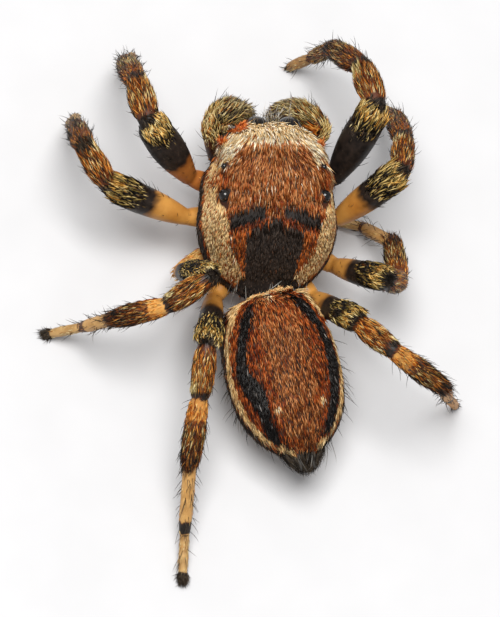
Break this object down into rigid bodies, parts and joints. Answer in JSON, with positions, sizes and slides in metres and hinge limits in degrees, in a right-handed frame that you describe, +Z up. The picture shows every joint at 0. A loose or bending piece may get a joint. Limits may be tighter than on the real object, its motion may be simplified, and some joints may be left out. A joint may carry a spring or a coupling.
{
  "type": "jumping spider",
  "caption": "Life-size still model of a male jumping spider standing with its front legs drawn up and its abdomen turned a little to one side.",
  "frame": {"origin": "centre of the bounding box on the floor, under the feet", "axes": "the head looks along -Y and the abdomen lies towards +Y, +Z up, +X the spider's left"},
  "size_m": [0.0064, 0.0084, 0.0026],
  "materials": {
    "body_coat": "short rust-brown hair with cream bands and black stripes",
    "leg_coat": "black and orange-brown rings under short yellow hair",
    "cuticle": "satin tan to dark brown",
    "eye_lens": "polished black lens",
    "dark_bristle": "tuft of black hair"
  },
  "bodies": {
    "root": {"abdomen": "body_coat", "carapace": "body_coat", "chelicera_left": "cuticle", "chelicera_right": "cuticle", "eye_ale_left": "eye_lens", "eye_ale_right": "eye_lens", "eye_ame_left": "eye_lens", "eye_ame_right": "eye_lens", "eye_ple_left": "eye_lens", "eye_ple_right": "eye_lens", "eye_pme_left": "eye_lens", "eye_pme_right": "eye_lens", "leg_left_1_coxa": "cuticle", "leg_left_1_femur": "leg_coat", "leg_left_1_foot": "leg_coat", "leg_left_1_patella": "leg_coat", "leg_left_1_tibia": "leg_coat", "leg_left_2_coxa": "cuticle", "leg_left_2_femur": "leg_coat", "leg_left_2_foot": "leg_coat", "leg_left_2_patella": "leg_coat", "leg_left_2_tibia": "leg_coat", "leg_left_3_coxa": "cuticle", "leg_left_3_femur": "leg_coat", "leg_left_3_foot": "leg_coat", "leg_left_3_patella": "leg_coat", "leg_left_3_tibia": "leg_coat", "leg_left_4_coxa": "cuticle", "leg_left_4_femur": "leg_coat", "leg_left_4_foot": "leg_coat", "leg_left_4_patella": "leg_coat", "leg_left_4_tibia": "leg_coat", "leg_right_1_coxa": "cuticle", "leg_right_1_femur": "leg_coat", "leg_right_1_foot": "leg_coat", "leg_right_1_patella": "leg_coat", "leg_right_1_tibia": "leg_coat", "leg_right_2_coxa": "cuticle", "leg_right_2_femur": "leg_coat", "leg_right_2_foot": "leg_coat", "leg_right_2_patella": "leg_coat", "leg_right_2_tibia": "leg_coat", "leg_right_3_coxa": "cuticle", "leg_right_3_femur": "leg_coat", "leg_right_3_foot": "leg_coat", "leg_right_3_patella": "leg_coat", "leg_right_3_tibia": "leg_coat", "leg_right_4_coxa": "cuticle", "leg_right_4_femur": "leg_coat", "leg_right_4_foot": "leg_coat", "leg_right_4_patella": "leg_coat", "leg_right_4_tibia": "leg_coat", "palp_bulb_left": "leg_coat", "palp_bulb_right": "leg_coat", "palp_left": "leg_coat", "palp_right": "leg_coat", "pedicel": "cuticle", "spinnerets": "dark_bristle", "sternum": "cuticle"}
  },
  "joints": []
}
